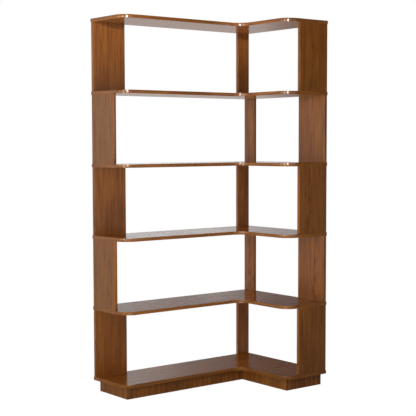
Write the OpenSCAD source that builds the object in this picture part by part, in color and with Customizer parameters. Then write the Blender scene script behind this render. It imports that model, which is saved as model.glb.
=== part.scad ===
// An open corner bookcase: six L-shaped shelves on staggered upright panels and a recessed plinth.
// The long arm runs along X at the back and the short arm comes forward along -Y on the right.
// Millimetres, +Z up. The origin is on the floor, under the middle of the bounding box.

/* [Overall] */
// Length of the long arm, along X
long_arm = 1095; // [900:5:1400]
// Length of the short arm, along Y, measured from the back
short_arm = 667; // [520:1:1000]
// Depth of both arms from their back edge to their front edge
arm_depth = 300; // [285:1:360]

/* [Shelves] */
// Thickness of every shelf
shelf_t = 18; // [16:0.5:28]
// Clear height between one shelf and the next
tier_h = 365; // [280:1:420]
// Radius of the rounded outer corners at the front
front_r = 70; // [30:1:85]
// Radius of the rounded inside corner
inside_r = 70; // [30:1:120]
// Thickness of the wood strip on a shelf's edges
shelf_edging_t = 1.5; // [0.8:0.1:3]

/* [Upright panels] */
// Thickness of every upright panel
panel_t = 18; // [16:0.5:25]
// Width of the panels at the two ends of the bookcase
wide_panel = 203; // [150:1:214]
// Width of the narrow panels in the back corner
corner_panel = 84; // [74:1:120]
// How far the shelves stand proud of the panels
setback = 2; // [0:0.5:6]
// Thickness of the wood strip on a panel's two upright edges
panel_edging_t = 1; // [0.5:0.1:2]
// Glue line between a board and its edge strip
glue_line = 0.1; // [0.05:0.05:0.3]

/* [Plinth] */
// Height of the plinth
plinth_h = 67; // [60:1:120]
// Thickness of the plinth boards
plinth_t = 18; // [12:0.5:25]
// How far the plinth stands back from the shelf edge at the front and ends
plinth_inset = 40; // [26:1:80]
// How far the plinth stands back from the shelf edge at the wall sides
plinth_back = 2; // [0:0.5:10]
// Side of the square glue blocks inside the plinth
block_w = 30; // [24:1:40]
// Height of the glue blocks
block_h = 40; // [30:1:55]
// How far the stretchers stay clear of the floor
stretcher_lift = 8; // [2:1:20]

/* [Dowels] */
// Diameter of the wooden dowels
dowel_d = 8; // [6:0.5:10]
// Length of the wooden dowels
dowel_l = 30; // [25:1:40]
// How far a dowel goes into a shelf
dowel_in_shelf = 10; // [7:0.5:12]
// Chamfer on the ends of a dowel
dowel_chamfer = 1; // [0.5:0.1:1.5]

/* [Cam fittings] */
// Diameter of the cam that is let into a panel's hidden face
cam_d = 15; // [14:0.5:18]
// How far the cam's centre lies from the end of the panel
cam_from_end = 24; // [20:1:34]
// How far a cam's centre lies from the long edge of a wide panel
cam_from_edge = 37.5; // [30:0.5:42]
// How much deeper the cam goes into the panel than the bolt's hole
cam_past_bolt = 0.4; // [0.3:0.1:1]
// Diameter of the bolt's thread in the shelf
bolt_thread_d = 6; // [5:0.1:7]
// Length of the bolt's thread in the shelf
bolt_thread_l = 10.5; // [8:0.5:12]
// Diameter of the bolt's shank
bolt_shank_d = 5.8; // [5:0.1:7]
// Diameter of the bolt's collar, which stops it at the shelf
bolt_collar_d = 7.6; // [7:0.1:8.5]
// Height of the bolt's collar
bolt_collar_h = 1.2; // [0.8:0.1:2]
// Diameter of the bolt's neck, which the cam grips behind
bolt_neck_d = 3.6; // [3:0.1:4]
// How far the bolt's neck starts before the cam
bolt_neck_lead = 0.5; // [0.3:0.1:1.5]
// Diameter of the bolt's head
bolt_head_d = 6.2; // [5.5:0.1:6.4]
// Length of the bolt's head
bolt_head_l = 3; // [2:0.1:4]
// Clearance round the bolt in the cam's slot and pocket
cam_slack = 0.3; // [0.2:0.1:0.5]
// Length across the cross recess in a cam's face
recess_l = 7; // [5:0.5:9]
// Width of the arms of the cross recess
recess_w = 1.3; // [1:0.1:1.6]
// Depth of the cross recess
recess_h = 1.8; // [1:0.1:2.2]

/* [Plinth screws] */
// Diameter of the screws that hold the plinth to the bottom shelf
screw_d = 4; // [3:0.5:5]
// Diameter of the countersunk screw head
screw_head_d = 8; // [7:0.5:10]
// How far a screw goes into the bottom shelf
screw_in_shelf = 12; // [9:0.5:13]

/* [Fits] */
// Clearance on the radius between a fitting and its hole
hole_fit = 0.1; // [0.05:0.05:0.2]
// Extra depth at the bottom of a blind hole
hole_relief = 1; // [0.5:0.1:2]

/* [Hidden] */
$fn = 64;

// The bookcase has five open tiers, counted from the top, and a shelf above and below each.
tiers = 5;
shelves = tiers + 1;
shelf_names = ["top_shelf", "shelf_2", "shelf_3", "shelf_4", "shelf_5", "bottom_shelf"];
edging_names = ["edging_1_top", "edging_2", "edging_3", "edging_4", "edging_5", "edging_6_bottom"];
roles = ["left", "corner", "end"];

// Edges of the bounding box in plan
left = -long_arm / 2;
right = long_arm / 2;
back = short_arm / 2;
front = -short_arm / 2;

// The two ends of a panel
foot = 0;
head = 1;

// A small overlap that lets cutting tools break through a face
cut = 1;

shelf_inset = shelf_edging_t + glue_line;
panel_inset = panel_edging_t + glue_line;

dowel_hole_d = dowel_d + 2 * hole_fit;
cam_hole_d = cam_d + 2 * hole_fit;
thread_hole_d = bolt_thread_d + 2 * hole_fit;
bolt_hole_d = bolt_collar_d + 2 * hole_fit;
screw_hole_d = screw_d + 2 * hole_fit;
cam_below_bolt = bolt_hole_d / 2 + cam_past_bolt;
cam_h = panel_t / 2 + cam_below_bolt;
bolt_end = cam_from_end + bolt_head_l / 2;

// Outer faces of the plinth ring
plinth_left = left + plinth_inset;
plinth_right = right - plinth_back;
plinth_rear = back - plinth_back;
plinth_long_front = back - arm_depth + plinth_inset;
plinth_short_left = right - arm_depth + plinth_inset;
plinth_short_front = front + plinth_inset;
stretcher_h = plinth_h - stretcher_lift;
stretcher_y = plinth_long_front + plinth_t;
stretcher_l = plinth_rear - plinth_long_front - 2 * plinth_t;

// Lower left corner of each glue block: the five outer corners, then the two at the corner stretcher
block_places = [
    [plinth_left + plinth_t, plinth_long_front + plinth_t],
    [plinth_left + plinth_t, plinth_rear - plinth_t - block_w],
    [plinth_right - plinth_t - block_w, plinth_rear - plinth_t - block_w],
    [plinth_right - plinth_t - block_w, plinth_short_front + plinth_t],
    [plinth_short_left + plinth_t, plinth_short_front + plinth_t],
    [plinth_short_left - block_w, plinth_long_front + plinth_t],
    [plinth_short_left - block_w, plinth_rear - plinth_t - block_w]
];

// Height of the underside of shelf 1 to 6, and of the foot of the panels of tier 1 to 5
function shelf_z(shelf) = plinth_h + (shelves - shelf) * (shelf_t + tier_h);
function tier_z(tier) = shelf_z(tier + 1) + shelf_t;

// The panels of the odd tiers stand along X, those of the even tiers along Y
function along_x(tier) = tier % 2 == 1;
function panel_w(role) = role == "corner" ? corner_panel : wide_panel;

// The corner of a panel where its length and its thickness both start at zero
function panel_at(tier, role) =
    along_x(tier)
    ? [
        role == "left" ? left + setback : right - setback - panel_w(role),
        role == "end" ? front + setback : back - setback - panel_t
    ]
    : [
        role == "left" ? left + setback : right - setback - panel_t,
        role == "end" ? front + setback + panel_w(role) : back - setback
    ];

// Places along a panel's width of its cams and of its dowels
function cam_places(role) =
    role == "corner" ? [corner_panel / 2] : [cam_from_edge, wide_panel - cam_from_edge];
function dowel_places(role) =
    role == "corner"
    ? [corner_panel / 4, corner_panel * 3 / 4]
    : [wide_panel / 4 + cam_from_edge / 2, wide_panel * 3 / 4 - cam_from_edge / 2];

// Puts a panel's own frame in place: X along its width, Y from its shown face to its hidden face
module in_panel(tier, role) {
    translate(concat(panel_at(tier, role), [tier_z(tier)]))
        rotate([0, 0, along_x(tier) ? 0 : -90])
            children();
}

// Puts a fitting at places along a panel, on the middle of its thickness.
// At the foot it stands as drawn, and at the head it is turned upside down.
module at_ends(places, ends) {
    for (place = places)
        for (end = ends)
            translate([place, panel_t / 2, end * tier_h])
                rotate([end * 180, 0, 0])
                    children();
}

// Outline of an L-shaped shelf, drawn in from its full size by an inset
module shelf_outline(inset) {
    outer_r = front_r - inset;
    inner_r = inside_r + inset;
    long_front = back - arm_depth + inset;
    short_left = right - arm_depth + inset;
    difference() {
        union() {
            translate([left + inset, long_front])
                square([long_arm - 2 * inset, arm_depth - 2 * inset]);
            translate([short_left, front + inset])
                square([arm_depth - 2 * inset, short_arm - 2 * inset]);
            translate([short_left - inner_r, long_front - inner_r])
                square(inner_r + cut);
        }
        translate([short_left - inner_r, long_front - inner_r])
            circle(r = inner_r);
        translate([left + inset, long_front])
            corner_waste(outer_r);
        translate([short_left, front + inset])
            corner_waste(outer_r);
    }
}

// What a router takes off a square corner at the origin to leave it round
module corner_waste(r) {
    difference() {
        translate([-cut, -cut])
            square(r + cut);
        translate([r, r])
            circle(r = r);
    }
}

// Holes in a shelf for the fittings at one end of the panels of a tier
module shelf_holes(tier, end) {
    for (role = roles)
        in_panel(tier, role) {
            at_ends(dowel_places(role), [end])
                translate([0, 0, -dowel_in_shelf - hole_relief])
                    cylinder(d = dowel_hole_d, h = dowel_in_shelf + hole_relief + cut);
            at_ends(cam_places(role), [end])
                translate([0, 0, -bolt_thread_l - hole_relief])
                    cylinder(d = thread_hole_d, h = bolt_thread_l + hole_relief + cut);
        }
}

// Shelf board without its edge strips
module shelf(shelf) {
    color("#8d5a35")
        difference() {
            translate([0, 0, shelf_z(shelf)])
                linear_extrude(shelf_t)
                    shelf_outline(shelf_inset);
            if (shelf > 1)
                shelf_holes(shelf - 1, foot);
            if (shelf < shelves)
                shelf_holes(shelf, head);
            if (shelf == shelves)
                at_blocks()
                    translate([0, 0, plinth_h - cut])
                        cylinder(d = screw_hole_d, h = screw_in_shelf + hole_relief + cut);
        }
}

// Edge strips of one shelf: one round the front and both ends, and one on each back edge
module shelf_edging(shelf) {
    color("#9c6236")
        translate([0, 0, shelf_z(shelf)])
            linear_extrude(shelf_t) {
                intersection() {
                    difference() {
                        shelf_outline(0);
                        shelf_outline(shelf_edging_t);
                    }
                    translate([left, front])
                        square([long_arm - shelf_inset, short_arm - shelf_inset]);
                }
                translate([left, back - shelf_edging_t])
                    square([long_arm, shelf_edging_t]);
                translate([right - shelf_edging_t, front])
                    square([shelf_edging_t, short_arm - shelf_inset]);
            }
}

// Upright panel without its edge strips, bored for its dowels, bolts and cams
module panel(tier, role) {
    color("#7c4a28")
        in_panel(tier, role)
            difference() {
                translate([panel_inset, 0, 0])
                    cube([panel_w(role) - 2 * panel_inset, panel_t, tier_h]);
                at_ends(dowel_places(role), [foot, head])
                    translate([0, 0, -cut])
                        cylinder(d = dowel_hole_d, h = dowel_l - dowel_in_shelf + hole_relief + cut);
                at_ends(cam_places(role), [foot, head])
                    translate([0, 0, -cut])
                        cylinder(d = bolt_hole_d, h = bolt_end + hole_relief + cut);
                for (place = cam_places(role))
                    for (height = [cam_from_end, tier_h - cam_from_end])
                        translate([place, panel_t / 2 - cam_below_bolt - hole_fit, height])
                            rotate([-90, 0, 0])
                                cylinder(d = cam_hole_d, h = cam_h + hole_fit + cut);
            }
}

// Edge strips on the two upright edges of the three panels of one tier
module panel_edging(tier) {
    color("#8f5a32")
        for (role = roles)
            in_panel(tier, role)
                for (place = [0, panel_w(role) - panel_edging_t])
                    translate([place, 0, 0])
                        cube([panel_edging_t, panel_t, tier_h]);
}

// Board of the plinth, as a strip between two corners of the ring, mitred at both ends
module plinth_board(outer_a, outer_b, inner_b, inner_a) {
    color("#6f4222")
        linear_extrude(plinth_h)
            polygon([outer_a, outer_b, inner_b, inner_a]);
}

// Corners of the ring in order, on the outer faces and on the inner faces
ring_outer = [
    [plinth_left, plinth_long_front],
    [plinth_short_left, plinth_long_front],
    [plinth_short_left, plinth_short_front],
    [plinth_right, plinth_short_front],
    [plinth_right, plinth_rear],
    [plinth_left, plinth_rear]
];
ring_inner = [
    ring_outer[0] + [plinth_t, plinth_t],
    ring_outer[1] + [plinth_t, plinth_t],
    ring_outer[2] + [plinth_t, plinth_t],
    ring_outer[3] + [-plinth_t, plinth_t],
    ring_outer[4] + [-plinth_t, -plinth_t],
    ring_outer[5] + [plinth_t, -plinth_t]
];
ring_names = [
    "plinth_front_long", "plinth_front_short", "plinth_end_short",
    "plinth_back_short", "plinth_back_long", "plinth_end_long"
];

// Stretcher between the front and back boards of the long arm, starting at an X position
module plinth_stretcher(x) {
    color("#6f4222")
        translate([x, stretcher_y, stretcher_lift])
            cube([plinth_t, stretcher_l, stretcher_h]);
}

module at_blocks() {
    for (place = block_places)
        translate([place[0] + block_w / 2, place[1] + block_w / 2, 0])
            children();
}

// Countersunk screw, head down, with its top end at the given length
module screw_shape(radial_gap) {
    head_h = (screw_head_d - screw_d) / 2;
    shank_r = screw_d / 2 + radial_gap;
    head_r = screw_head_d / 2 + radial_gap;
    rotate_extrude()
        polygon([
            [0, 0], [head_r, 0], [shank_r, head_h],
            [shank_r, block_h + screw_in_shelf], [0, block_h + screw_in_shelf]
        ]);
}

module plinth_blocks() {
    color("#c9a36b")
        at_blocks()
            translate([0, 0, plinth_h - block_h])
                difference() {
                    translate([-block_w / 2, -block_w / 2, 0])
                        cube([block_w, block_w, block_h]);
                    screw_shape(hole_fit);
                }
}

module plinth_screws() {
    color("#b9b9b4")
        at_blocks()
            translate([0, 0, plinth_h - block_h])
                screw_shape(0);
}

// Dowel standing in the shelf below its panel
module dowel() {
    r = dowel_d / 2;
    translate([0, 0, -dowel_in_shelf])
        rotate_extrude()
            polygon([
                [0, 0], [r - dowel_chamfer, 0], [r, dowel_chamfer],
                [r, dowel_l - dowel_chamfer], [r - dowel_chamfer, dowel_l], [0, dowel_l]
            ]);
}

module dowels() {
    color("#d8b988")
        for (tier = [1:tiers])
            for (role = roles)
                in_panel(tier, role)
                    at_ends(dowel_places(role), [foot, head])
                        dowel();
}

// Turned bolt: thread in the shelf, collar on its face, then shank, neck and head in the panel
module cam_bolt() {
    thread_r = bolt_thread_d / 2;
    shank_r = bolt_shank_d / 2;
    collar_r = bolt_collar_d / 2;
    neck_r = bolt_neck_d / 2;
    head_r = bolt_head_d / 2;
    head_z = cam_from_end - bolt_head_l / 2;
    neck_z = cam_from_end - cam_d / 2 - bolt_neck_lead;
    rotate_extrude()
        polygon([
            [0, -bolt_thread_l], [neck_r, -bolt_thread_l],
            [thread_r, thread_r - neck_r - bolt_thread_l],
            [thread_r, 0], [collar_r, 0], [collar_r, bolt_collar_h],
            [shank_r, bolt_collar_h], [shank_r, neck_z], [neck_r, neck_z],
            [neck_r, head_z], [head_r, head_z], [head_r, bolt_end], [0, bolt_end]
        ]);
}

module cam_bolts() {
    color("#bdbdb8")
        for (tier = [1:tiers])
            for (role = roles)
                in_panel(tier, role)
                    at_ends(cam_places(role), [foot, head])
                        cam_bolt();
}

// Cam with its face outwards along Y: a slot takes the bolt's neck and a pocket its head
module cam_lock() {
    pocket_w = bolt_head_d + 2 * cam_slack;
    slot_w = bolt_neck_d + 2 * cam_slack;
    pocket_l = 2 * bolt_head_l;
    difference() {
        translate([0, -cam_below_bolt, 0])
            rotate([-90, 0, 0])
                cylinder(d = cam_d, h = cam_h);
        translate([-pocket_w / 2, -cam_below_bolt - cut, -pocket_l / 2])
            cube([pocket_w, cam_below_bolt + cut + pocket_w / 2, pocket_l]);
        translate([-slot_w / 2, -cam_below_bolt - cut, -cam_d])
            cube([slot_w, cam_below_bolt + cut + slot_w / 2, cam_d]);
        translate([-recess_l / 2, panel_t / 2 - recess_h, -recess_w / 2])
            cube([recess_l, recess_h + cut, recess_w]);
        translate([-recess_w / 2, panel_t / 2 - recess_h, -recess_l / 2])
            cube([recess_w, recess_h + cut, recess_l]);
    }
}

module cams() {
    color("#a9a9a6")
        for (tier = [1:tiers])
            for (role = roles)
                in_panel(tier, role)
                    for (place = cam_places(role)) {
                        translate([place, panel_t / 2, cam_from_end])
                            cam_lock();
                        translate([place, panel_t / 2, tier_h - cam_from_end])
                            mirror([0, 0, 1])
                                cam_lock();
                    }
}

for (i = [0:tiers]) {
    shelf(i + 1);
    shelf_edging(i + 1);
}
for (tier = [1:tiers]) {
    for (role = roles)
        panel(tier, role);
    panel_edging(tier);
}
for (i = [0:5]) {
    j = (i + 1) % 6;
    plinth_board(ring_outer[i], ring_outer[j], ring_inner[j], ring_inner[i]);
}
plinth_stretcher((plinth_left + plinth_short_left) / 2);  // plinth_stretcher_middle
plinth_stretcher(plinth_short_left);  // plinth_stretcher_corner
plinth_blocks();
plinth_screws();
dowels();
cam_bolts();
cams();
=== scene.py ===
"""Looks of an L-shaped corner bookcase in lacquered walnut veneer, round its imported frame."""

import math
import random

import bpy
from mathutils import Matrix, Vector


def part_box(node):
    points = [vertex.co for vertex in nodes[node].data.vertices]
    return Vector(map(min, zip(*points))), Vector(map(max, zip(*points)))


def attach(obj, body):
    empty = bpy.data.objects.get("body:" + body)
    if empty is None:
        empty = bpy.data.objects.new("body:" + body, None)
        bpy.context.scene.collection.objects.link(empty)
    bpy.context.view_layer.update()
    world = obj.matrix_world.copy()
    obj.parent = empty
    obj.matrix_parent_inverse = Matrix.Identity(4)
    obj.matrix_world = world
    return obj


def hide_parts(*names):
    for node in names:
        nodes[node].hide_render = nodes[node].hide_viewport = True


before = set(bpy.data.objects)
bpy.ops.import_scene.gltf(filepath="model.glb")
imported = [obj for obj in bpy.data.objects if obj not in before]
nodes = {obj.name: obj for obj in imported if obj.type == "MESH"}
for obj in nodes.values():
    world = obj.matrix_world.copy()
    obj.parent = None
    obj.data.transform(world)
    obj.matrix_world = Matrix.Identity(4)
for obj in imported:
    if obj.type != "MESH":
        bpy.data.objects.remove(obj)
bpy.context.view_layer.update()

# Sizes in metres, as in the frame
arm_depth = 0.3
corner_radius = 0.07
shelf_strip_t = 0.0015
panel_strip_t = 0.001
glue_line = 0.0001
shelf_arris = 0.0005
panel_arris = 0.0006

# Counts from the top of the bookcase down
shelf_names = ["top_shelf", "shelf_2", "shelf_3", "shelf_4", "shelf_5", "bottom_shelf"]
edging_names = ["edging_1_top", "edging_2", "edging_3", "edging_4", "edging_5", "edging_6_bottom"]
tiers = range(1, 6)
roles = ["left", "corner", "end"]
plinth_faces = [
    "plinth_front_long", "plinth_front_short", "plinth_end_long",
    "plinth_end_short", "plinth_back_long", "plinth_back_short",
]

X = Vector((1, 0, 0))
Y = Vector((0, 1, 0))
Z = Vector((0, 0, 1))


def linear(code):
    """A hex sRGB colour such as #8a5a34 as linear red, green, blue and alpha."""
    channels = [int(code[i:i + 2], 16) / 255 for i in (1, 3, 5)]
    return [c / 12.92 if c <= 0.04045 else ((c + 0.055) / 1.055) ** 2.4 for c in channels] + [1.0]


def per_mm(size):
    """The scale of a noise whose features are that many millimetres wide."""
    return 1000 / size


def add(tree, kind, inputs=None, **settings):
    """Add a node with its properties, and set each input or link it to a given node or socket."""
    node = tree.nodes.new(kind)
    for name, value in settings.items():
        setattr(node, name, value)
    for key, value in (inputs or {}).items():
        if isinstance(value, bpy.types.Node):
            value = value.outputs[0]
        if isinstance(value, bpy.types.NodeSocket):
            tree.links.new(value, node.inputs[key])
        else:
            node.inputs[key].default_value = value
    return node


def set_stops(ramp, stops):
    """Set a ramp's stops, each a place with a hex colour or a plain level of light."""
    while len(ramp.elements) < len(stops):
        ramp.elements.new(0.5)
    for element, (place, shade) in zip(ramp.elements, stops):
        element.position = place
        element.color = linear(shade) if isinstance(shade, str) else (shade, shade, shade, 1)


# Walnut figure, shared by every veneered face and edge strip: sizes across and along the grain
ring_mm = 11
streak_mm, streak_long_mm = 13, 260
line_mm, line_long_mm = 5, 240
fleck_mm, fleck_long_mm = 3, 38
eye_mm, eye_long_mm = 26, 75
# Real pores are about 0.3 mm across, too fine to show in the render, so they are drawn coarser
pore_mm, pore_long_mm = 1.1, 22

# The heart of the log sways over such lengths, by this much to each side, in metres, and rises
# by this part of its run
sway_mm = 70
heart_stray = 0.02
heart_rise = 0.07
# Wood darkens late in each ring, and pales again from this part of the ring to its end
ring_power = 2.2
ring_end = 0.8
# Dark eyes show fully this near the heart, in metres, and are gone at the second distance
eyes_full = 0.02
eyes_gone = 0.045

# How dark plain wood is, and how much each part of the figure adds to that
plain_share = 0.12
streak_share = 0.42
line_share = 0.2
ring_share = 0.12
fleck_share = 0.12
eye_share = 0.28
# The lightest wood and the darkest, and how much smoother and rougher they are than most
light_wood, dark_wood = 0.2, 0.9
light_smoother, dark_rougher = 0.04, 0.06
# Open pores: how much of their own colour they show, and the strength and depth of their relief
pore_share = 0.35
pore_colour = "#3f2415"
pore_relief = 0.12
pore_depth = 0.0002


def walnut_figure():
    """Node group of flat-cut walnut: X across the grain, Y along it, Z into the wood."""
    tree = bpy.data.node_groups.new("flat_cut_walnut", "ShaderNodeTree")
    tree.interface.new_socket("Vector", in_out="INPUT", socket_type="NodeSocketVector")
    tree.interface.new_socket("Figure", in_out="OUTPUT", socket_type="NodeSocketFloat")
    tree.interface.new_socket("Pores", in_out="OUTPUT", socket_type="NodeSocketFloat")
    place = add(tree, "NodeGroupInput").outputs["Vector"]

    def grained(width_mm, length_mm, detail, low, high):
        """Noise with features of that size along the grain, as a smooth rise from low to high."""
        drawn = add(
            tree, "ShaderNodeVectorMath", {0: place, 1: (1, width_mm / length_mm, 1)},
            operation="MULTIPLY",
        )
        noise = add(
            tree, "ShaderNodeTexNoise",
            {"Vector": drawn, "Scale": per_mm(width_mm), "Detail": detail, "Roughness": 0.6},
        )
        return add(
            tree, "ShaderNodeMapRange", {"Value": noise, "From Min": low, "From Max": high},
            interpolation_type="SMOOTHSTEP",
        )

    # Rings round the heart of the log, which runs a little out of line with the board
    wander = grained(sway_mm, 4 * sway_mm, detail=2, low=0.0, high=1.0)
    sway = add(
        tree, "ShaderNodeMath", {0: wander, 1: 2 * heart_stray, 2: -heart_stray},
        operation="MULTIPLY_ADD",
    )
    axes = add(tree, "ShaderNodeSeparateXYZ", {0: place})
    across = add(tree, "ShaderNodeMath", {0: axes.outputs["X"], 1: sway}, operation="ADD")
    rise = add(
        tree, "ShaderNodeMath",
        {0: axes.outputs["Y"], 1: heart_rise, 2: axes.outputs["Z"]},
        operation="MULTIPLY_ADD",
    )
    depth = add(tree, "ShaderNodeMath", {0: rise, 1: sway}, operation="ADD")
    spoke = add(tree, "ShaderNodeCombineXYZ", {"X": across, "Y": depth})
    reach = add(tree, "ShaderNodeVectorMath", {0: spoke}, operation="LENGTH")
    from_heart = reach.outputs["Value"]
    ring_count = add(
        tree, "ShaderNodeMath", {0: from_heart, 1: per_mm(ring_mm)}, operation="MULTIPLY",
    )
    ring = add(tree, "ShaderNodeMath", {0: ring_count}, operation="FRACT")
    darkening = add(tree, "ShaderNodeMath", {0: ring, 1: ring_power}, operation="POWER")
    edge = add(
        tree, "ShaderNodeMapRange", {"Value": ring, "From Min": 1.0, "From Max": ring_end},
        interpolation_type="SMOOTHSTEP",
    )
    rings = add(tree, "ShaderNodeMath", {0: darkening, 1: edge}, operation="MULTIPLY")

    # Streaks of lighter and darker wood, fine lines, short dark flecks, and eyes near the heart
    streaks = grained(streak_mm, streak_long_mm, detail=3, low=0.25, high=0.75)
    lines = grained(line_mm, line_long_mm, detail=2, low=0.3, high=0.7)
    flecks = grained(fleck_mm, fleck_long_mm, detail=1, low=0.52, high=0.72)
    eyes = grained(eye_mm, eye_long_mm, detail=1, low=0.48, high=0.62)
    near_heart = add(
        tree, "ShaderNodeMapRange",
        {"Value": from_heart, "From Min": eyes_gone, "From Max": eyes_full},
        interpolation_type="SMOOTHSTEP",
    )
    heart_eyes = add(tree, "ShaderNodeMath", {0: eyes, 1: near_heart}, operation="MULTIPLY")
    figure = plain_share
    for part, share in (
        (streaks, streak_share), (lines, line_share), (rings, ring_share),
        (flecks, fleck_share), (heart_eyes, eye_share),
    ):
        figure = add(
            tree, "ShaderNodeMath", {0: part, 1: share, 2: figure}, operation="MULTIPLY_ADD",
        )

    pores = grained(pore_mm, pore_long_mm, detail=2, low=0.56, high=0.7)
    add(tree, "NodeGroupOutput", {"Figure": figure, "Pores": pores})
    return tree


def walnut(name, place_of, tones, roughness):
    """Walnut veneer, sliced, sanded and thinly lacquered: a satin sheen over open pores."""
    material = bpy.data.materials.new(name)
    material.use_nodes = True
    tree = material.node_tree
    tree.nodes.clear()
    group = add(tree, "ShaderNodeGroup", node_tree=figure_group)
    tree.links.new(place_of(tree), group.inputs["Vector"])
    wood = add(tree, "ShaderNodeValToRGB", {"Fac": group.outputs["Figure"]})
    set_stops(wood.color_ramp, tones)
    in_pore = add(
        tree, "ShaderNodeMath", {0: group.outputs["Pores"], 1: pore_share}, operation="MULTIPLY",
    )
    pored = add(
        tree, "ShaderNodeMix",
        {"Factor": in_pore, "A": wood, "B": linear(pore_colour)},
        data_type="RGBA",
    )
    rough = add(
        tree, "ShaderNodeMapRange",
        {"Value": group.outputs["Figure"], "From Min": light_wood, "From Max": dark_wood,
         "To Min": roughness - light_smoother, "To Max": roughness + dark_rougher},
    )
    bump = add(
        tree, "ShaderNodeBump",
        {"Height": group.outputs["Pores"], "Strength": pore_relief, "Distance": -pore_depth},
    )
    shader = add(
        tree, "ShaderNodeBsdfPrincipled",
        {"Base Color": pored.outputs[2], "Roughness": rough, "Normal": bump, "IOR": 1.5},
    )
    add(tree, "ShaderNodeOutputMaterial", {"Surface": shader})
    return material


# The leaf whose heart runs up its middle, with a row of dark eyes, and its place in the log
heart_leaf = "panel_1_end"
heart_leaf_place = Vector((0.0, 0.05, 0.012))
# How far from the heart the other boards may be cut, in metres, across and along the log,
# and the least and the most depth
draw_across = 0.05
draw_along = 0.4
least_depth, most_depth = 0.02, 0.08


def log_draw(board):
    """Where a board was cut from its log, in metres across, along and into it, by its name."""
    if board == heart_leaf:
        return heart_leaf_place
    draw = random.Random(board)
    return Vector((
        draw.uniform(-draw_across, draw_across),
        draw.uniform(-draw_along, draw_along),
        draw.uniform(least_depth, most_depth),
    ))


def cut_from_log(board, across, along):
    """The place of a board's faces in its log: turned to the grain, centred, then moved."""
    low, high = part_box(board)
    turn = Matrix((across, along, across.cross(along)))
    shift = log_draw(board) - turn @ ((low + high) / 2)

    def place_of(tree):
        coordinates = add(tree, "ShaderNodeTexCoord")
        return add(
            tree, "ShaderNodeMapping",
            {"Vector": coordinates.outputs["Object"], "Location": shift,
             "Rotation": turn.to_euler()},
        ).outputs["Vector"]

    return place_of


def along_strip(tree):
    """The place on an edge strip, whose grain follows the strip round its corners."""
    return add(tree, "ShaderNodeAttribute", attribute_name="grain").outputs["Vector"]


def dress(board, material):
    """Give a CAD node its material in every slot."""
    for slot in nodes[board].material_slots:
        slot.material = material


figure_group = walnut_figure()
panel_tones = [(0.2, "#a3672d"), (0.45, "#935a28"), (0.65, "#834e23"), (1.0, "#5c371b")]
# The shelves take a lighter copy of the walnut than the panels: painted light, standing in for
# light from above on their tops
shelf_tones_painted_lighter = [(0.25, "#c87e36"), (0.45, "#b26e30"), (0.62, "#935827"), (0.9, "#663c1e")]
plinth_tones = [(0.25, "#ae6f30"), (0.45, "#9b602c"), (0.62, "#804d24"), (0.9, "#56341b")]
strip_tones = [(0.2, "#ac6d32"), (0.45, "#9a602b"), (0.65, "#895226"), (1.0, "#5f391d")]
panel_roughness = 0.2
shelf_roughness = 0.17
plinth_roughness = 0.25
strip_roughness = 0.13
veneer = "lacquered_walnut_veneer_"

for board in shelf_names:
    place_of = cut_from_log(board, Y, X)
    dress(board, walnut(veneer + board, place_of, shelf_tones_painted_lighter, shelf_roughness))
for tier in tiers:
    for role in roles:
        board = f"panel_{tier}_{role}"
        place_of = cut_from_log(board, X if tier % 2 else Y, Z)
        dress(board, walnut(veneer + board, place_of, panel_tones, panel_roughness))
for board in plinth_faces:
    low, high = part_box(board)
    place_of = cut_from_log(board, X if high.x - low.x > high.y - low.y else Y, Z)
    dress(board, walnut(veneer + board, place_of, plinth_tones, plinth_roughness))


# Edge strips: steps round a corner and over an arris, the turn at which an edge counts as sharp,
# and how far apart in the log the paths of one node start, in metres
corner_steps = 28
arris_steps = 4
sharp_turn = math.radians(50)
start_spacing = 3.7


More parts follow.
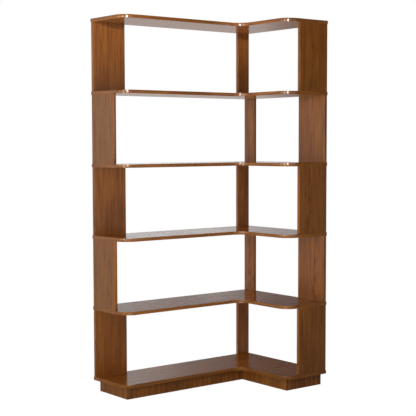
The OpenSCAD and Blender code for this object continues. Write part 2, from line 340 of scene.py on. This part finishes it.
def strip_tree():
    """Tree that lays an edge strip inside each path, with rounded arrises and grain along it."""
    tree = bpy.data.node_groups.new("edge_strip", "GeometryNodeTree")
    tree.interface.new_socket("Paths", in_out="INPUT", socket_type="NodeSocketGeometry")
    for name in ("Thickness", "Width", "Arris", "Corner Radius"):
        tree.interface.new_socket(name, in_out="INPUT", socket_type="NodeSocketFloat")
    tree.interface.new_socket("Cut", in_out="INPUT", socket_type="NodeSocketVector")
    tree.interface.new_socket("Material", in_out="INPUT", socket_type="NodeSocketMaterial")
    tree.interface.new_socket("Strip", in_out="OUTPUT", socket_type="NodeSocketGeometry")
    given = add(tree, "NodeGroupInput").outputs

    # Path with its corners rounded, and the length run along it, so that the grain follows it
    rounded = add(
        tree, "GeometryNodeFilletCurve",
        {"Curve": given["Paths"], "Count": corner_steps, "Radius": given["Corner Radius"]},
        mode="POLY",
    )
    number = add(
        tree, "GeometryNodeFieldOnDomain",
        {"Value": add(tree, "GeometryNodeInputIndex").outputs[0]},
        domain="CURVE", data_type="INT",
    )
    length = add(tree, "GeometryNodeSplineParameter").outputs["Length"]
    run = add(
        tree, "ShaderNodeMath", {0: number.outputs["Value"], 1: start_spacing, 2: length},
        operation="MULTIPLY_ADD",
    )
    path = add(tree, "GeometryNodeCaptureAttribute", domain="POINT")
    path.capture_items.new("FLOAT", "Run")
    tree.links.new(rounded.outputs["Curve"], path.inputs["Geometry"])
    tree.links.new(run.outputs[0], path.inputs["Run"])

    # Section of the strip, its outer face on the path and its rest inside: X points out of the
    # board, so the two corners on that side are rounded
    section = add(
        tree, "GeometryNodeCurvePrimitiveQuadrilateral",
        {"Width": given["Thickness"], "Height": given["Width"]},
        mode="RECTANGLE",
    )
    side = add(
        tree, "ShaderNodeSeparateXYZ",
        {"Vector": add(tree, "GeometryNodeInputPosition").outputs["Position"]},
    )
    outer = add(tree, "ShaderNodeMath", {0: side.outputs["X"], 1: 0.0}, operation="GREATER_THAN")
    arris = add(
        tree, "ShaderNodeMath", {0: outer.outputs[0], 1: given["Arris"]}, operation="MULTIPLY",
    )
    eased = add(
        tree, "GeometryNodeFilletCurve",
        {"Curve": section.outputs["Curve"], "Count": arris_steps, "Radius": arris.outputs[0]},
        mode="POLY",
    )
    inward = add(tree, "ShaderNodeMath", {0: given["Thickness"], 1: -0.5}, operation="MULTIPLY")
    inset = add(
        tree, "GeometryNodeSetPosition",
        {"Geometry": eased.outputs["Curve"],
         "Offset": add(tree, "ShaderNodeCombineXYZ", {"X": inward.outputs[0]}).outputs["Vector"]},
    )
    profile = add(tree, "GeometryNodeCaptureAttribute", domain="POINT")
    profile.capture_items.new("VECTOR", "Place")
    tree.links.new(inset.outputs["Geometry"], profile.inputs["Geometry"])
    section_place = add(tree, "GeometryNodeInputPosition").outputs["Position"]
    tree.links.new(section_place, profile.inputs["Place"])

    strip = add(
        tree, "GeometryNodeCurveToMesh",
        {"Curve": path.outputs["Geometry"], "Profile Curve": profile.outputs["Geometry"],
         "Fill Caps": True},
    )
    place = add(tree, "ShaderNodeSeparateXYZ", {"Vector": profile.outputs["Place"]})
    grain = add(
        tree, "ShaderNodeCombineXYZ",
        {"X": place.outputs["Y"], "Y": path.outputs["Run"], "Z": place.outputs["X"]},
    )
    cut = add(
        tree, "ShaderNodeVectorMath", {0: grain.outputs["Vector"], 1: given["Cut"]},
        operation="ADD",
    )
    kept = add(
        tree, "GeometryNodeStoreNamedAttribute",
        {"Geometry": strip.outputs["Mesh"], "Name": "grain", "Value": cut.outputs["Vector"]},
        data_type="FLOAT_VECTOR", domain="POINT",
    )

    # Smooth round the corners and arrises, sharp at the strip's ends and back
    smooth = add(tree, "GeometryNodeSetShadeSmooth", {"Geometry": kept, "Shade Smooth": True})
    turned = add(tree, "GeometryNodeInputMeshEdgeAngle").outputs["Unsigned Angle"]
    sharp = add(
        tree, "ShaderNodeMath", {0: turned, 1: sharp_turn}, operation="GREATER_THAN",
    )
    shaded = add(
        tree, "GeometryNodeSetShadeSmooth",
        {"Geometry": smooth.outputs["Geometry"], "Selection": sharp.outputs[0],
         "Shade Smooth": False},
        domain="EDGE",
    )
    realized = add(tree, "GeometryNodeRealizeInstances", {"Geometry": shaded.outputs["Geometry"]})
    dressed = add(
        tree, "GeometryNodeSetMaterial",
        {"Geometry": realized.outputs["Geometry"], "Material": given["Material"]},
    )
    add(tree, "NodeGroupOutput", {"Strip": dressed.outputs["Geometry"]})
    return tree


def lay_strips(name, paths, sizes, replaced):
    """Make one node's edge strips from its paths, each a list of points and the strip's turn."""
    curve = bpy.data.curves.new(name, "CURVE")
    curve.dimensions = "3D"
    curve.twist_mode = "MINIMUM"
    for points, turn in paths:
        spline = curve.splines.new("POLY")
        spline.points.add(len(points) - 1)
        for point, place in zip(spline.points, points):
            point.co = (*place, 1)
            point.tilt = turn
    track = bpy.data.objects.new(name + "_track", curve)
    bpy.context.scene.collection.objects.link(track)
    modifier = track.modifiers.new("strip", "NODES")
    modifier.node_group = strip_group
    values = dict(sizes, Cut=log_draw(name), Material=strip_walnut)
    for socket in strip_group.interface.items_tree:
        if socket.name in values:
            modifier[socket.identifier] = values[socket.name]
    depsgraph = bpy.context.evaluated_depsgraph_get()
    mesh = bpy.data.meshes.new_from_object(track.evaluated_get(depsgraph))
    bpy.data.objects.remove(track)
    piece = bpy.data.objects.new(name, mesh)
    bpy.context.scene.collection.objects.link(piece)
    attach(piece, "root")
    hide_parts(replaced)


strip_group = strip_tree()
strip_walnut = walnut(
    "lacquered_walnut_edge_strip", along_strip, strip_tones, strip_roughness,
)

# Shelf strips: one round the front and both ends, and one on each straight back edge
low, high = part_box("top_shelf")
strip_inset = shelf_strip_t + glue_line
outline_low = low - Vector((strip_inset, strip_inset, 0))
outline_high = high + Vector((strip_inset, strip_inset, 0))
left, front = outline_low.x, outline_low.y
right, back = outline_high.x, outline_high.y
long_front = back - arm_depth
short_left = right - arm_depth
shelf_t = high.z - low.z
for shelf, edging in zip(shelf_names, edging_names):
    z = sum(corner.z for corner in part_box(shelf)) / 2
    front_path = [
        (left, back - strip_inset, z), (left, long_front, z), (short_left, long_front, z),
        (short_left, front, z), (right - strip_inset, front, z),
    ]
    back_path = [(right, back, z), (left, back, z)]
    right_path = [(right, front, z), (right, back - strip_inset, z)]
    lay_strips(
        "strips_of_" + shelf,
        [(front_path, 0), (back_path, 0), (right_path, 0)],
        {"Thickness": shelf_strip_t, "Width": shelf_t, "Arris": shelf_arris,
         "Corner Radius": corner_radius},
        edging,
    )

# Panel strips: one on each upright edge, facing out of the panel
for tier in tiers:
    paths = []
    for role in roles:
        low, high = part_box(f"panel_{tier}_{role}")
        middle = (low + high) / 2
        wide = X if tier % 2 else Y
        panel_t = (high - low).dot(Y if tier % 2 else X)
        reach = (high - low).dot(wide) / 2 + glue_line + panel_strip_t
        for outward in (wide, -wide):
            foot = middle + outward * reach
            turn = math.atan2(outward.y, outward.x)
            paths.append(([(foot.x, foot.y, low.z), (foot.x, foot.y, high.z)], turn))
    lay_strips(
        f"strips_of_tier_{tier}",
        paths,
        {"Thickness": panel_strip_t, "Width": panel_t, "Arris": panel_arris,
         "Corner Radius": 0.0},
        f"panel_edging_{tier}",
    )


# Between these values of the noise, a plain material goes from its first colour and roughness to
# its second ones
colour_from, colour_to = 0.35, 0.65
rough_from, rough_to = 0.3, 0.7


def plain_material(name, colours, spot_mm, stretch, rough, height_mm, **sockets):
    """A material mottled by one noise, with two colours and a range of roughness."""
    material = bpy.data.materials.new(name)
    material.use_nodes = True
    tree = material.node_tree
    tree.nodes.clear()
    coordinates = add(tree, "ShaderNodeTexCoord")
    drawn = add(
        tree, "ShaderNodeMapping", {"Vector": coordinates.outputs["Object"], "Scale": stretch},
    )
    noise = add(
        tree, "ShaderNodeTexNoise",
        {"Vector": drawn, "Scale": per_mm(spot_mm), "Detail": 3, "Roughness": 0.6},
    )
    colour = add(tree, "ShaderNodeValToRGB", {"Fac": noise})
    set_stops(colour.color_ramp, [(colour_from, colours[0]), (colour_to, colours[1])])
    spread = add(
        tree, "ShaderNodeMapRange",
        {"Value": noise, "From Min": rough_from, "From Max": rough_to,
         "To Min": rough[0], "To Max": rough[1]},
    )
    bump = add(
        tree, "ShaderNodeBump",
        {"Height": noise, "Strength": 0.5, "Distance": height_mm / 1000},
    )
    shader = add(
        tree, "ShaderNodeBsdfPrincipled",
        {"Base Color": colour, "Roughness": spread, "Normal": bump, **sockets},
    )
    add(tree, "ShaderNodeOutputMaterial", {"Surface": shader})
    return material


# Raw fibreboard, pressed and sawn: matt, with fine felted specks about a millimetre across
fibreboard = plain_material(
    "raw_pressed_fibreboard", ["#a5835a", "#8c6b46"], spot_mm=1.2, stretch=(1, 1, 1),
    rough=(0.75, 0.9), height_mm=0.08, IOR=1.5,
)
# Softwood, planed: pale, with dark late-wood lines every few millimetres along the upright block
softwood = plain_material(
    "planed_softwood", ["#d9b27a", "#b98a52"], spot_mm=4, stretch=(1, 1, 0.06),
    rough=(0.5, 0.65), height_mm=0.1, IOR=1.5,
)
# Beech, turned to dowel rod: pinkish, close and even, with short flecks along the grain
beech = plain_material(
    "turned_beech", ["#cfa077", "#b98460"], spot_mm=1.0, stretch=(1, 1, 0.12),
    rough=(0.55, 0.7), height_mm=0.05, IOR=1.5,
)
# Steel, cold-formed, zinc-plated and passivated: bright blue-grey, finely mottled
zinc_plated = plain_material(
    "zinc_plated_steel", ["#b9bec2", "#a3a9b0"], spot_mm=1.5, stretch=(1, 1, 1),
    rough=(0.22, 0.38), height_mm=0.01, Metallic=1.0,
)
# Zinc, die-cast and tumbled: duller and greyer than plated steel, with a slightly grained skin
die_cast = plain_material(
    "die_cast_zinc", ["#9a9b9c", "#83858a"], spot_mm=0.9, stretch=(1, 1, 1),
    rough=(0.38, 0.55), height_mm=0.03, Metallic=1.0,
)
for board in ("plinth_stretcher_middle", "plinth_stretcher_corner"):
    dress(board, fibreboard)
dress("plinth_blocks", softwood)
dress("dowels", beech)
dress("plinth_screws", zinc_plated)
dress("cam_bolts", zinc_plated)
dress("cams", die_cast)

# Camera, worked out from the photograph's vanishing points and its frame of 416 by 416 pixels
image_width = 416
focal_pixels = 1079.2
sensor_mm = 36
camera_at = Vector((-3.6834, -4.5255, 1.3401))
camera_heading = 0.6544
camera_pitch = -0.0689
camera_roll = -0.0039
# The photograph was cropped off its middle, by this many pixels to the right and upwards
crop_right = 28
crop_up = 10

camera_data = bpy.data.cameras.new("camera")
camera_data.sensor_width = sensor_mm
camera_data.lens = focal_pixels * sensor_mm / image_width
camera_data.shift_x = crop_right / image_width
camera_data.shift_y = crop_up / image_width
camera = bpy.data.objects.new("camera", camera_data)
camera.matrix_world = (
    Matrix.Translation(camera_at)
    @ Matrix.Rotation(-camera_heading, 4, "Z")
    @ Matrix.Rotation(math.pi / 2 + camera_pitch, 4, "X")
    @ Matrix.Rotation(camera_roll, 4, "Z")
)
bpy.context.scene.collection.objects.link(camera)
bpy.context.scene.camera = camera


def softbox(name, at, aim, width, height, watts, colour="#ffffff"):
    """A soft studio light, unseen by the camera."""
    data = bpy.data.lights.new(name, "AREA")
    data.shape = "RECTANGLE"
    data.size = width
    data.size_y = height
    data.energy = watts
    data.color = linear(colour)[:3]
    light = bpy.data.objects.new(name, data)
    light.location = at
    light.rotation_euler = (Vector(aim) - Vector(at)).to_track_quat("-Z", "Y").to_euler()
    light.visible_camera = False
    bpy.context.scene.collection.objects.link(light)
    return light


# Warm key light, front left, which gives the rounded corners their bars of light
softbox(
    "key_light", at=(-2.2, -3.0, 2.12), aim=(0, 0.1, 2.0), width=0.4, height=0.9, watts=27,
    colour="#ffefe6",
)
# Card round the key, seen in reflections alone, so it widens those bars and softens no shadow
wide_card = softbox(
    "wide_card", at=(-2.3, -3.1, 1.9), aim=(0, 0.1, 1.8), width=1.3, height=1.5, watts=75,
    colour="#fffaf6",
)
wide_card.visible_diffuse = False
# Two yellow-green lights, far left, for the faces that are turned to the left
left_white = "#f8ffe6"
softbox(
    "tall_left_light", at=(-3.26, -1.4, 1.7), aim=(0, 0, 1.2), width=0.7, height=1.6, watts=17,
    colour=left_white,
)
softbox(
    "low_left_light", at=(-3.3, -1.6, 0.9), aim=(0, 0.1, 0.7), width=0.5, height=0.8, watts=12,
    colour=left_white,
)
# Two low ones for the undersides and the tops of the panels, the second lying on the floor
softbox(
    "floor_light", at=(-1.9, -2.7, 0.3), aim=(0, 0.2, 1.0), width=0.9, height=0.3, watts=3,
)
softbox(
    "light_on_floor", at=(-0.9, -1.05, 0.02), aim=(-0.9, -1.05, 1.0), width=1.0, height=1.0,
    watts=13,
)

spot_at = Vector((-2.04, -3.15, 2.31))
spot_radius = 0.03
spot_white = "#fff4ea"


def snooted_spot(name, aim, watts, cone):
    """A small, narrow spotlight beside the key, which casts the top shelf's shadow crisply."""
    data = bpy.data.lights.new(name, "SPOT")
    data.energy = watts
    data.shadow_soft_size = spot_radius
    data.spot_size = math.radians(cone)
    data.spot_blend = 1.0
    data.color = linear(spot_white)[:3]
    light = bpy.data.objects.new(name, data)
    light.location = spot_at
    light.rotation_euler = (Vector(aim) - spot_at).to_track_quat("-Z", "Y").to_euler()
    bpy.context.scene.collection.objects.link(light)


snooted_spot("left_spot", aim=(-0.45, 0.3, 2.04), watts=190, cone=14)
snooted_spot("corner_spot", aim=(0.5, 0.31, 1.99), watts=250, cone=7)


def glow_round(tree, direction, stops):
    """Brightness by compass angle, in degrees from +X towards +Y, as a smooth ring of levels."""
    axes = add(tree, "ShaderNodeSeparateXYZ", {0: direction})
    angle = add(
        tree, "ShaderNodeMath", {0: axes.outputs["Y"], 1: axes.outputs["X"]},
        operation="ARCTAN2",
    )
    turn = add(tree, "ShaderNodeMath", {0: angle, 1: 1 / math.tau}, operation="MULTIPLY")
    part = add(tree, "ShaderNodeMath", {0: turn, 1: 0.0, 2: 1.0}, operation="WRAP")
    ring = add(tree, "ShaderNodeValToRGB", {"Fac": part})
    ring.color_ramp.interpolation = "EASE"
    closed = stops + [(360, stops[0][1])]
    set_stops(ring.color_ramp, [(degrees / 360, level) for degrees, level in closed])
    return ring


# Studio round the bookcase, for every ray but the camera's: a bright back and dim space in front,
# in a ring at the horizon and three bands above it
studio_level = 2.08
world = bpy.data.worlds.new("studio")
world.use_nodes = True
bpy.context.scene.world = world
sky = world.node_tree
sky.nodes.clear()
direction = add(sky, "ShaderNodeTexCoord").outputs["Generated"]
height = add(sky, "ShaderNodeSeparateXYZ", {0: direction}).outputs["Z"]
horizon = glow_round(sky, direction, [
    (0, 0.15), (30, 0.24), (43, 0.3), (49, 0.5), (54, 0.7), (62, 0.75), (75, 0.4), (135, 0.36),
    (158, 0.4), (166, 2.2), (178, 2.2), (184, 0.5), (192, 2.0), (206, 2.0), (214, 0.4),
    (240, 0.36), (285, 0.42), (298, 0.3), (311, 0.0), (335, 0.0),
])
low_band = glow_round(sky, direction, [
    (0, 0.06), (30, 0.03), (48.3, 0.0), (50.2, 0.26), (52, 0.08), (54, 0.05), (61, 0.28),
    (75, 0.32), (110, 0.3), (150, 0.14), (190, 0.08), (285, 0.08), (305, 0.0),
])
clear_band = glow_round(sky, direction, [
    (0, 0.08), (30, 0.05), (43, 0.02), (50, 0.02), (55, 0.32), (61, 0.8), (70, 0.5),
    (94, 0.3), (140, 0.15), (185, 0.0), (305, 0.0),
])
upper_band = glow_round(sky, direction, [
    (0, 0.18), (50, 0.22), (94, 0.5), (140, 0.3), (185, 0.0), (305, 0.0),
])
nothing = add(sky, "ShaderNodeRGB")
nothing.outputs[0].default_value = (0, 0, 0, 1)
glow = horizon
# Each band takes over from the one under it between two heights, as sines of the elevation
for band, low, high in (
    (low_band, 0.08, 0.12), (clear_band, 0.155, 0.19),
    (upper_band, 0.26, 0.32), (nothing, 0.6, 0.72),
):
    rise = add(
        sky, "ShaderNodeMapRange", {"Value": height, "From Min": low, "From Max": high},
        interpolation_type="SMOOTHSTEP",
    )
    mixed = add(sky, "ShaderNodeMix", {"Factor": rise, "A": glow, "B": band}, data_type="RGBA")
    glow = mixed.outputs[2]
path = add(sky, "ShaderNodeLightPath")
studio = add(sky, "ShaderNodeBackground", {"Color": glow, "Strength": studio_level})
white = add(sky, "ShaderNodeBackground", {"Color": (1, 1, 1, 1), "Strength": 1.0})
seen = add(sky, "ShaderNodeMixShader", {0: path.outputs["Is Camera Ray"], 1: studio, 2: white})
add(sky, "ShaderNodeOutputWorld", {"Surface": seen})

# The glow in the floor turns round this point, and changes over from its near ring to its far
# ring between these distances, in metres
glow_centre = Vector((0.4, 0.25, 0))
near_until = 4.0
far_from = 9.0


def white_paper():
    """Matt white paper with a painted glow, brightest behind where it runs back, and overexposed
    for the camera.
    """
    material = bpy.data.materials.new("matt_white_paper")
    material.use_nodes = True
    tree = material.node_tree
    tree.nodes.clear()
    coordinates = add(tree, "ShaderNodeTexCoord")
    place = add(
        tree, "ShaderNodeMapping",
        {"Vector": coordinates.outputs["Object"], "Location": -glow_centre},
    )
    near = glow_round(tree, place, [
        (0, 1.0), (45, 1.35), (95, 1.1), (135, 0.35), (175, 0.0), (310, 0.0), (340, 0.4),
    ])
    away = glow_round(tree, place, [
        (0, 0.3), (38, 0.04), (45.8, 0.03), (47.3, 0.42), (95, 0.45), (180, 0.4),
        (285, 0.5), (298, 0.4), (311, 0.0), (340, 0.0),
    ])
    distance = add(tree, "ShaderNodeVectorMath", {0: place}, operation="LENGTH").outputs["Value"]
    far = add(
        tree, "ShaderNodeMapRange",
        {"Value": distance, "From Min": near_until, "From Max": far_from},
        interpolation_type="SMOOTHSTEP",
    )
    pool = add(tree, "ShaderNodeMix", {"Factor": far, "A": near, "B": away}, data_type="RGBA")
    matt = add(tree, "ShaderNodeBsdfDiffuse", {"Color": linear("#d4d4d2")})
    # Painted light: the paper emits this glow itself, in place of lamps lighting it
    painted_glow = add(tree, "ShaderNodeEmission", {"Color": pool.outputs[2], "Strength": 1.0})
    paper_and_glow = add(tree, "ShaderNodeAddShader", {0: matt, 1: painted_glow})
    bright = add(tree, "ShaderNodeEmission", {"Color": (1, 1, 1, 1), "Strength": 1.0})
    path = add(tree, "ShaderNodeLightPath")
    seen = add(
        tree, "ShaderNodeMixShader", {0: path.outputs["Is Camera Ray"], 1: paper_and_glow, 2: bright},
    )
    add(tree, "ShaderNodeOutputMaterial", {"Surface": seen})
    return material


# Floor, which reaches this far each way, in metres, so that it meets the horizon
floor_reach = 120
floor_mesh = bpy.data.meshes.new("floor")
floor_mesh.from_pydata(
    [(-floor_reach, -floor_reach, 0), (floor_reach, -floor_reach, 0),
     (floor_reach, floor_reach, 0), (-floor_reach, floor_reach, 0)],
    [], [(0, 1, 2, 3)],
)
floor_mesh.materials.append(white_paper())
floor = bpy.data.objects.new("floor", floor_mesh)
bpy.context.scene.collection.objects.link(floor)

bpy.context.scene.view_settings.view_transform = "Standard"
